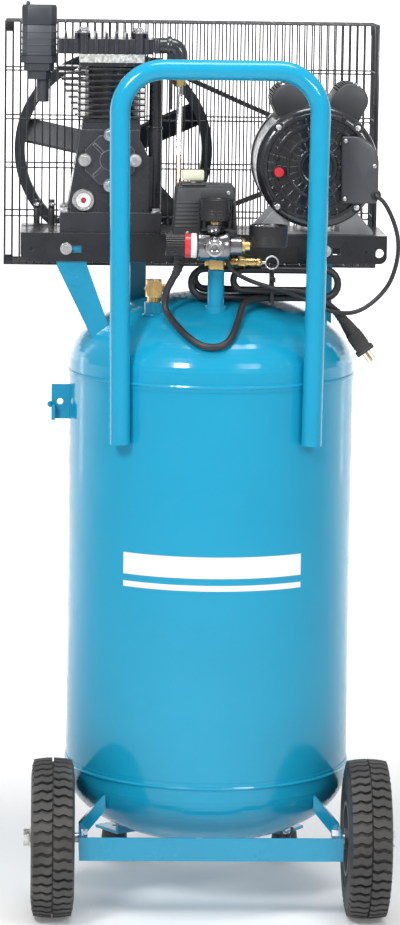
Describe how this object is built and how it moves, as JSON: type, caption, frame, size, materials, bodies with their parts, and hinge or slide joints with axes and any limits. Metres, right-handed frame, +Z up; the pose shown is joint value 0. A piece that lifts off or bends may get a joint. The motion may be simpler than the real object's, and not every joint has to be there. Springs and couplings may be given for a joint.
{
  "type": "vertical tank air compressor",
  "caption": "Upright wheeled air tank with a belt-driven piston pump, electric motor, caged belt guard, pressure switch, regulator and push handle.",
  "frame": {"origin": "middle of the object's footprint on the floor, with the mains cord left out", "axes": "+Z up; -Y is the front with the handle, wheels and controls; +X is the motor's side and -X the pump's side"},
  "size_m": [0.633, 0.567, 1.443],
  "materials": {
    "blue_enamel": "gloss",
    "black_paint": "satin",
    "zinc": "satin",
    "rubber": "matte",
    "tyre_rubber": "matte",
    "rim_paint": "satin",
    "pump_iron": "satin",
    "flywheel_iron": "satin",
    "machined_steel": "satin",
    "aluminium": "satin",
    "black_plastic": "matte",
    "cream_plastic": "matte",
    "regulator_cast": "satin",
    "chrome": "polished",
    "brass": "satin",
    "copper": "satin",
    "motor_paint": "satin",
    "red_plastic": "gloss",
    "belt_rubber": "matte",
    "cord_jacket": "satin"
  },
  "bodies": {
    "frame": {"tank_shell": "blue_enamel", "top_head": "blue_enamel", "bottom_head": "blue_enamel", "handle_tube": "blue_enamel", "axle_bracket": "blue_enamel", "rear_legs": "blue_enamel", "platform_struts": "blue_enamel", "platform_deck": "black_paint", "guard_front": "black_paint", "guard_rear": "black_paint", "breather_tube": "black_paint", "discharge_elbow": "black_paint", "axle_bolts": "zinc", "m8_bolts": "zinc", "drain_valve": "zinc", "rubber_feet": "rubber", "crankcase": "pump_iron", "front_cover": "pump_iron", "cylinder_block": "pump_iron", "cylinder_head": "pump_iron", "discharge_tube": "machined_steel", "valve_plate": "aluminium", "piston": "aluminium", "switch_base": "black_plastic", "switch_cover": "black_plastic", "filter_base": "black_plastic", "filter_cover": "black_plastic", "gauge_cases": "black_plastic", "regulator_body": "regulator_cast", "outlet_coupler": "chrome", "sight_glass": "chrome", "brass_fittings": "brass", "manifold": "brass", "safety_valve": "brass", "copper_tube": "copper", "stator": "copper", "motor_shell": "motor_paint", "motor_bells": "motor_paint", "motor_covers": "motor_paint", "v_belt": "belt_rubber", "power_cord": "cord_jacket", "cord_hank": "cord_jacket", "plug": "cord_jacket", "motor_lead": "cord_jacket"},
    "crank": {"crankshaft": "machined_steel", "flywheel": "flywheel_iron"},
    "rod": {"connecting_rod": "aluminium"},
    "motor_spindle": {"motor_rotor": "machined_steel", "motor_pulley": "flywheel_iron"},
    "left_wheel": {"left_tyre": "tyre_rubber", "left_rim": "rim_paint"},
    "right_wheel": {"right_tyre": "tyre_rubber", "right_rim": "rim_paint"},
    "knob": {"regulator_knob": "black_plastic"},
    "switch_cap": {"on_off_cap": "cream_plastic"},
    "reset": {"reset_button": "red_plastic"},
    "tank_pointer": {"tank_needle": "red_plastic"},
    "outlet_pointer": {"outlet_needle": "red_plastic"},
    "relief_ring": {"safety_ring": "zinc"},
    "drain_tap": {"drain_handle": "black_plastic"}
  },
  "joints": [
    {"name": "crank_spin", "type": "hinge", "parent": "frame", "child": "crank", "pos_m": [-0.1375, 0.2235, 1.196], "axis": [0, 1, 0], "continuous": true},
    {"name": "rod_big_end", "type": "hinge", "parent": "crank", "child": "rod", "pos_m": [-0.1375, 0.0135, 1.21], "axis": [0, 1, 0], "continuous": true},
    {"name": "motor_spin", "type": "hinge", "parent": "frame", "child": "motor_spindle", "pos_m": [0.1785, 0.2235, 1.191], "axis": [0, 1, 0], "continuous": true},
    {"name": "left_wheel_spin", "type": "hinge", "parent": "frame", "child": "left_wheel", "pos_m": [-0.2295, -0.1565, 0.127], "axis": [1, 0, 0], "continuous": true},
    {"name": "right_wheel_spin", "type": "hinge", "parent": "frame", "child": "right_wheel", "pos_m": [0.2705, -0.1565, 0.127], "axis": [1, 0, 0], "continuous": true},
    {"name": "knob_turn", "type": "hinge", "parent": "frame", "child": "knob", "pos_m": [-0.0475, -0.1765, 1.074], "axis": [1, 0, 0], "range_deg": [-540, 540]},
    {"name": "switch_press", "type": "slide", "parent": "frame", "child": "switch_cap", "axis": [0, 0, -1], "range_m": [0, 0.004]},
    {"name": "reset_press", "type": "slide", "parent": "frame", "child": "reset", "axis": [0, 1, 0], "range_m": [0, 0.003], "stiffness_N_per_m": 300},
    {"name": "tank_pointer_turn", "type": "hinge", "parent": "frame", "child": "tank_pointer", "pos_m": [0.0145, -0.1765, 1.14], "axis": [0, 0, -1], "range_deg": [0, 270]},
    {"name": "outlet_pointer_turn", "type": "hinge", "parent": "frame", "child": "outlet_pointer", "pos_m": [0.0975, -0.1765, 1.1], "axis": [0, 0, -1], "range_deg": [0, 270]},
    {"name": "relief_pull", "type": "slide", "parent": "frame", "child": "relief_ring", "axis": [1, 0, 0], "range_m": [0, 0.004], "stiffness_N_per_m": 800},
    {"name": "drain_turn", "type": "hinge", "parent": "frame", "child": "drain_tap", "pos_m": [0.1545, 0.0235, 0.09], "axis": [0, 0, 1], "range_deg": [0, 90]}
  ],
  "couplings": [
    {"joint": "rod_big_end", "follows": "crank_spin", "ratio": -1},
    {"joint": "motor_spin", "follows": "crank_spin", "ratio": 4.3472}
  ]
}
